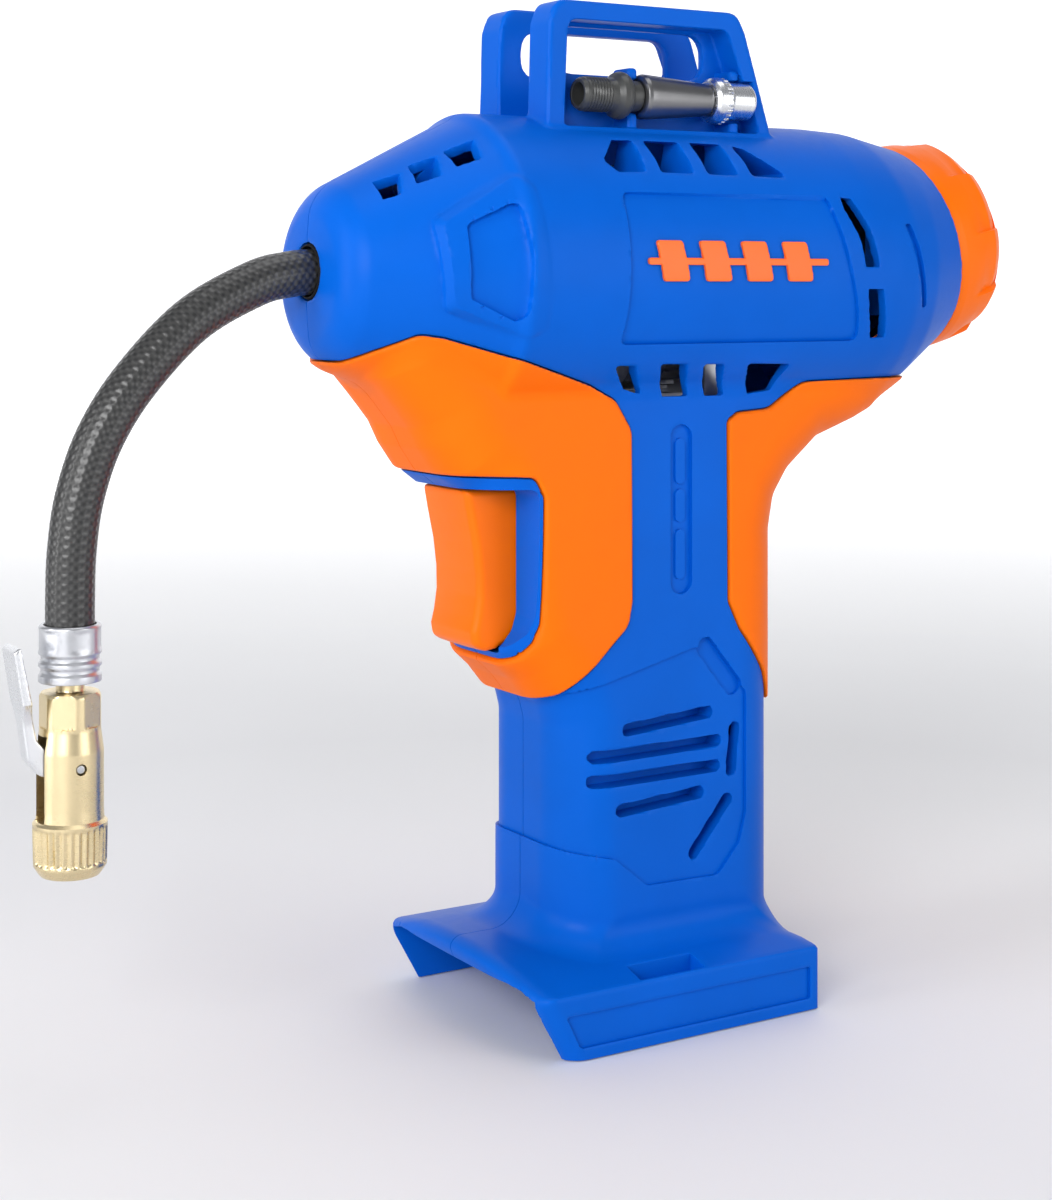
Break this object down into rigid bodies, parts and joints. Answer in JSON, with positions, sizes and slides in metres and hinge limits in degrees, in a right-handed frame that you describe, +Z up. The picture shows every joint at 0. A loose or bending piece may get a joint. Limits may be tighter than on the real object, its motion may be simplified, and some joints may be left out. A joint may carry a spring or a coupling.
{
  "type": "cordless tyre inflator",
  "caption": "Pistol-shaped cordless air pump with braided hose, lever chuck, rear pressure gauge, trigger, soft grips and stored nozzle adaptors; slides on to a battery pack.",
  "frame": {"origin": "centre of the terminal block's lower face, level with the bottom of the foot, under the handle's centreline", "axes": "+X forward to the hose end, +Y the tool's left side, +Z up"},
  "size_m": [0.2591, 0.073, 0.2378],
  "materials": {
    "blue_housing": "fine moulded texture, satin",
    "orange_overmould": "soft satin overmould",
    "orange_plastic": "satin moulded plastic",
    "black_plastic": "satin",
    "black_rubber": "matt",
    "braided_hose": "braided cover",
    "steel": "turned or pressed",
    "zinc_plate": "bright plated, knurled",
    "aluminium": "die cast",
    "brass": "turned",
    "copper": "enamelled winding",
    "white_plastic": "printed dial face or moulded",
    "red_plastic": "gloss",
    "clear_lens": "clear polycarbonate window"
  },
  "bodies": {
    "body": {"badge_left": "orange_plastic", "badge_right": "orange_plastic", "bourdon_tube": "brass", "chuck_body": "brass", "chuck_seal": "black_rubber", "crank_bearing": "brass", "cylinder": "aluminium", "cylinder_head": "aluminium", "gauge_bezel": "orange_plastic", "gauge_case": "black_plastic", "gauge_dial": "white_plastic", "gauge_lens": "clear_lens", "gauge_tube": "black_plastic", "gear_bracket": "aluminium", "grip_front_left": "orange_overmould", "grip_front_right": "orange_overmould", "grip_rear_left": "orange_overmould", "grip_rear_right": "orange_overmould", "head_gasket": "black_rubber", "hose": "braided_hose", "hose_ferrule": "brass", "hose_grommet": "black_rubber", "housing_left": "blue_housing", "housing_right": "blue_housing", "lever_pin": "steel", "motor_can": "steel", "motor_end_cap": "black_plastic", "motor_magnet_left": "black_plastic", "motor_magnet_right": "black_plastic", "outlet_fitting": "brass", "screw_1": "steel", "screw_2": "steel", "screw_3": "steel", "screw_4": "steel", "screw_5": "steel", "screw_6": "steel", "screw_7": "steel", "screw_8": "steel", "switch_body": "black_plastic", "terminal_block": "black_plastic", "terminal_data": "brass", "terminal_negative": "brass", "terminal_positive": "brass", "trigger_spring": "steel", "valve_reed": "steel", "wire_black": "black_plastic", "wire_red": "red_plastic"},
    "trigger": {"trigger": "orange_plastic", "switch_plunger": "black_plastic"},
    "rotor": {"motor_rotor": "copper", "pinion": "brass"},
    "crank": {"crank_gear": "steel"},
    "piston": {"piston_rod": "white_plastic", "piston_seal": "black_rubber"},
    "needle": {"gauge_needle": "red_plastic"},
    "lever": {"chuck_lever": "steel"},
    "stored_nozzle": {"nozzle_adapter": "black_plastic", "valve_adapter": "zinc_plate"},
    "stored_ball_needle": {"ball_needle": "steel"}
  },
  "joints": [
    {"name": "trigger_slide", "type": "slide", "parent": "body", "child": "trigger", "axis": [-1, 0, 0], "range_m": [0, 0.006], "deforming": ["trigger_spring"]},
    {"name": "motor_spin", "type": "hinge", "parent": "body", "child": "rotor", "pos_m": [-0.04, 0, 0.175], "axis": [1, 0, 0], "continuous": true},
    {"name": "crank_spin", "type": "hinge", "parent": "body", "child": "crank", "pos_m": [-0.0077, 0, 0.159], "axis": [1, 0, 0], "continuous": true},
    {"name": "piston_stroke", "type": "slide", "parent": "body", "child": "piston", "axis": [0, 0, -1], "range_m": [0, 0.01]},
    {"name": "needle_sweep", "type": "hinge", "parent": "body", "child": "needle", "pos_m": [-0.0839, 0, 0.1807], "axis": [0.9796, 0, -0.2011], "range_deg": [0, 270]},
    {"name": "lever_flip", "type": "hinge", "parent": "body", "child": "lever", "pos_m": [0.1407, 0, 0.071], "axis": [0, 1, 0], "range_deg": [0, 80]},
    {"name": "stored_nozzle_out", "type": "slide", "parent": "body", "child": "stored_nozzle", "axis": [0, 1, 0], "range_m": [0, 0.04]},
    {"name": "stored_ball_needle_out", "type": "slide", "parent": "body", "child": "stored_ball_needle", "axis": [0, -1, 0], "range_m": [0, 0.04]}
  ],
  "couplings": [
    {"joint": "crank_spin", "follows": "motor_spin", "ratio": -0.28571}
  ]
}
